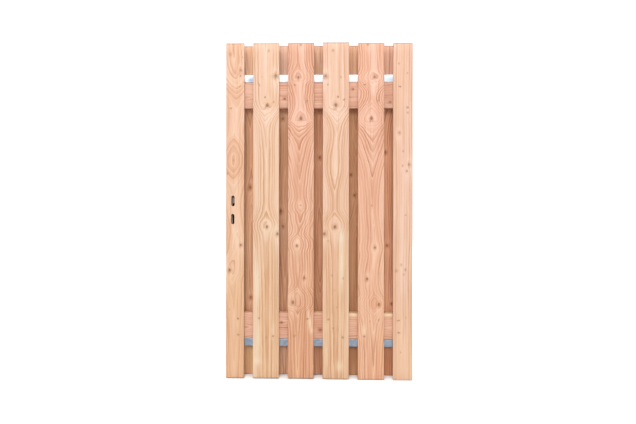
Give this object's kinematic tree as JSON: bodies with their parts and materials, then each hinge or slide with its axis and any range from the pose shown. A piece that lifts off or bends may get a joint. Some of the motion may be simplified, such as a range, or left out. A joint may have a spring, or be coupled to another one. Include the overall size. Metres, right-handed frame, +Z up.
{
  "type": "garden gate leaf",
  "caption": "Tall board-on-board wooden garden gate leaf on a welded galvanised box-tube frame, with a mortise lock in its latch stile and sleeves for hinge bolts.",
  "frame": {"origin": "middle of the leaf's base, at the height of its lowest board end", "axes": "+X to the right seen from the front, front boards face -Y, +Z up"},
  "size_m": [1, 0.072, 1.806],
  "materials": {
    "front_boards": "planed softwood, unfinished, pale peach to salmon",
    "rear_boards": "planed softwood, unfinished, redder and darker",
    "wood_rails": "planed softwood, unfinished",
    "galvanised_steel": "hot-dip galvanised, satin with faint spangle",
    "plastic_plugs": "matt black",
    "stainless_steel": "brushed",
    "zinc_plated_steel": "zinc plated",
    "spring_steel": "bare spring steel",
    "wood_screws": "dull zinc"
  },
  "bodies": {
    "leaf": {"front_board_1": "front_boards", "front_board_2": "front_boards", "front_board_3": "front_boards", "front_board_4": "front_boards", "front_board_5": "front_boards", "front_board_6": "front_boards", "rear_board_1": "rear_boards", "rear_board_2": "rear_boards", "rear_board_3": "rear_boards", "rear_board_4": "rear_boards", "rear_board_5": "rear_boards", "upper_wood_rail": "wood_rails", "lower_wood_rail": "wood_rails", "latch_stile": "galvanised_steel", "hinge_stile": "galvanised_steel", "frame_top_tube": "galvanised_steel", "frame_bottom_tube": "galvanised_steel", "cap_latch_top": "plastic_plugs", "cap_latch_bottom": "plastic_plugs", "cap_hinge_top": "plastic_plugs", "cap_hinge_bottom": "plastic_plugs", "hinge_sleeve_upper": "galvanised_steel", "hinge_sleeve_lower": "galvanised_steel", "lock_case": "zinc_plated_steel", "lock_cover": "zinc_plated_steel", "lock_forend": "stainless_steel", "deadbolt_leaf_spring": "spring_steel", "forend_screw_lower": "stainless_steel", "forend_screw_upper": "stainless_steel", "latch_spring": "spring_steel", "screw_upper_1a": "wood_screws", "screw_upper_1b": "wood_screws", "screw_upper_2a": "wood_screws", "screw_upper_2b": "wood_screws", "screw_upper_3a": "wood_screws", "screw_upper_3b": "wood_screws", "screw_upper_4a": "wood_screws", "screw_upper_4b": "wood_screws", "screw_upper_5a": "wood_screws", "screw_upper_5b": "wood_screws", "screw_upper_6a": "wood_screws", "screw_upper_6b": "wood_screws", "screw_lower_1a": "wood_screws", "screw_lower_1b": "wood_screws", "screw_lower_2a": "wood_screws", "screw_lower_2b": "wood_screws", "screw_lower_3a": "wood_screws", "screw_lower_3b": "wood_screws", "screw_lower_4a": "wood_screws", "screw_lower_4b": "wood_screws", "screw_lower_5a": "wood_screws", "screw_lower_5b": "wood_screws", "screw_lower_6a": "wood_screws", "screw_lower_6b": "wood_screws"},
    "follower_body": {"follower": "zinc_plated_steel"},
    "latch_body": {"latch_bolt": "stainless_steel"},
    "deadbolt_body": {"deadbolt": "stainless_steel"}
  },
  "joints": [
    {"name": "follower_turn", "type": "hinge", "parent": "leaf", "child": "follower_body", "pos_m": [-0.457, 0, 0.936], "axis": [0, 1, 0], "range_deg": [0, 29]},
    {"name": "latch_slide", "type": "slide", "parent": "leaf", "child": "latch_body", "axis": [1, 0, 0], "range_m": [0, 0.0105], "stiffness_N_per_m": 250, "springref_m": -0.006, "deforming": ["latch_spring"]},
    {"name": "deadbolt_slide", "type": "slide", "parent": "leaf", "child": "deadbolt_body", "axis": [-1, 0, 0], "range_m": [0, 0.02]}
  ],
  "couplings": [
    {"joint": "follower_turn", "follows": "latch_slide", "rad_per_m": 48.2}
  ]
}
